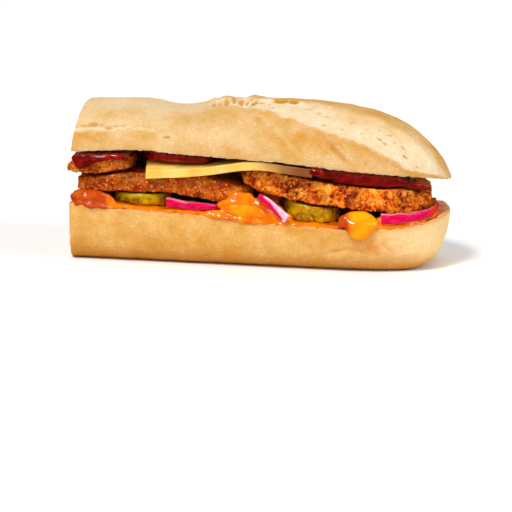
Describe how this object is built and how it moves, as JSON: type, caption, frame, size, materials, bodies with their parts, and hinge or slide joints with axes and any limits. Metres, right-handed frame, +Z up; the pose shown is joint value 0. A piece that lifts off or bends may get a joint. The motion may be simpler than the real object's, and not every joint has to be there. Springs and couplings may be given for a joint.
{
  "type": "submarine sandwich half",
  "caption": "Half of a filled baguette sandwich, cut across at one end, with roast chicken slices, cheese, ketchup, pickles, red onion and orange sauce showing along the sides.",
  "frame": {"origin": "middle of the footprint, on the flat base", "axes": "+X along the loaf towards its rounded nose, the cut end at -X; -Y towards the viewer; +Z up"},
  "size_m": [0.1434, 0.0684, 0.0608],
  "materials": {
    "crust": "baked wheat crust, matt, with pale torn crumb",
    "chicken": "spiced roast chicken, craggy and moist",
    "cheese": "sliced young cheese, soft sheen",
    "ketchup": "wet, dark red, glossy",
    "orange_sauce": "creamy orange sauce, glossy",
    "pickle": "wet olive-yellow pickled cucumber",
    "onion": "pickled red onion, magenta, wet"
  },
  "bodies": {
    "root": {"bun_bottom": "crust", "bun_top": "crust", "sauce_spread": "orange_sauce", "sauce_left": "orange_sauce", "sauce_front": "orange_sauce", "sauce_middle": "orange_sauce", "sauce_back": "orange_sauce", "sauce_drop": "orange_sauce", "sauce_core_1": "orange_sauce", "sauce_core_2": "orange_sauce", "pickle_1": "pickle", "pickle_2": "pickle", "pickle_3": "pickle", "pickle_4": "pickle", "onion_1": "onion", "onion_2": "onion", "onion_3": "onion", "onion_4": "onion", "onion_5": "onion", "chicken_1": "chicken", "chicken_2": "chicken", "chicken_3": "chicken", "cheese": "cheese", "ketchup_1": "ketchup", "ketchup_2": "ketchup", "ketchup_3": "ketchup"}
  },
  "joints": []
}
